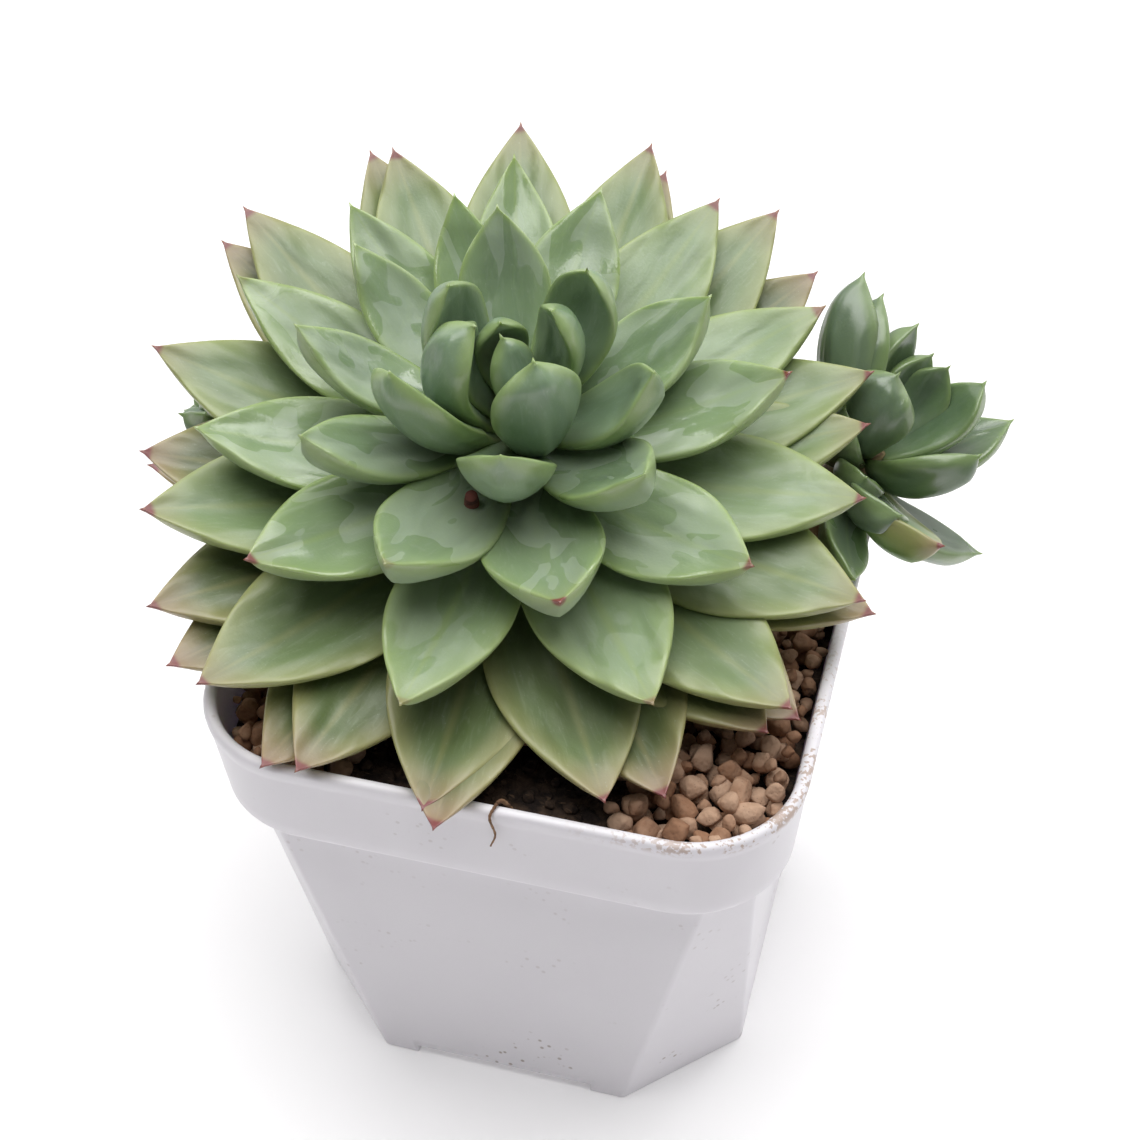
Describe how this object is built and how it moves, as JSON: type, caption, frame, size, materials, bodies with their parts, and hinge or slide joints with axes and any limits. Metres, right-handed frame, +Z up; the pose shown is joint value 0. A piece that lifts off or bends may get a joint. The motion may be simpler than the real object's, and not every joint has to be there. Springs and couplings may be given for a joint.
{
  "type": "potted succulent",
  "caption": "Rosette succulent with pointed fleshy leaves and small daughter rosettes, growing in a square plastic nursery pot with a gravel top dressing.",
  "frame": {"origin": "centre of the pot's underside, on the surface it stands on", "axes": "+Z up, the pot's sides along X and Y, the side the rosette leans to is -Y"},
  "size_m": [0.1343, 0.118, 0.1298],
  "materials": {
    "pot_plastic": "white satin moulded plastic",
    "potting_mix": "dark crumbly potting mix",
    "gravel": "tan pebbles, rough",
    "stem": "corky stem and roots",
    "leaf_young": "blue-green leaf, waxy bloom",
    "leaf_grown": "green leaf, pale margin, red tip",
    "leaf_old": "yellow-green leaf, pinkish edge",
    "root": "dry brown rootlet"
  },
  "bodies": {
    "root": {"pot": "pot_plastic", "potting_mix": "potting_mix", "gravel": "gravel", "main_stem": "stem", "heart": "leaf_young", "leaf_01": "leaf_young", "leaf_02": "leaf_young", "leaf_03": "leaf_young", "leaf_04": "leaf_young", "leaf_05": "leaf_young", "leaf_06": "leaf_young", "leaf_07": "leaf_young", "leaf_08": "leaf_young", "leaf_09": "leaf_young", "leaf_10": "leaf_young", "leaf_11": "leaf_young", "leaf_12": "leaf_young", "leaf_13": "leaf_grown", "leaf_14": "leaf_grown", "leaf_15": "leaf_grown", "leaf_16": "leaf_grown", "leaf_17": "leaf_grown", "leaf_18": "leaf_grown", "leaf_19": "leaf_grown", "leaf_20": "leaf_grown", "leaf_21": "leaf_grown", "leaf_22": "leaf_grown", "leaf_23": "leaf_grown", "leaf_24": "leaf_grown", "leaf_25": "leaf_grown", "leaf_26": "leaf_grown", "leaf_27": "leaf_grown", "leaf_28": "leaf_grown", "leaf_29": "leaf_grown", "leaf_30": "leaf_grown", "leaf_31": "leaf_old", "leaf_32": "leaf_old", "leaf_33": "leaf_old", "leaf_34": "leaf_old", "leaf_35": "leaf_old", "leaf_36": "leaf_old", "leaf_37": "leaf_old", "leaf_38": "leaf_old", "leaf_39": "leaf_old", "leaf_40": "leaf_old", "leaf_41": "leaf_old", "leaf_42": "leaf_old", "leaf_43": "leaf_old", "leaf_44": "leaf_old", "leaf_45": "leaf_old", "leaf_46": "leaf_old", "leaf_47": "leaf_old", "leaf_48": "leaf_old", "leaf_49": "leaf_old", "leaf_50": "leaf_old", "offset_right": "leaf_young", "offset_left": "leaf_young", "rootlet": "root"}
  },
  "joints": []
}
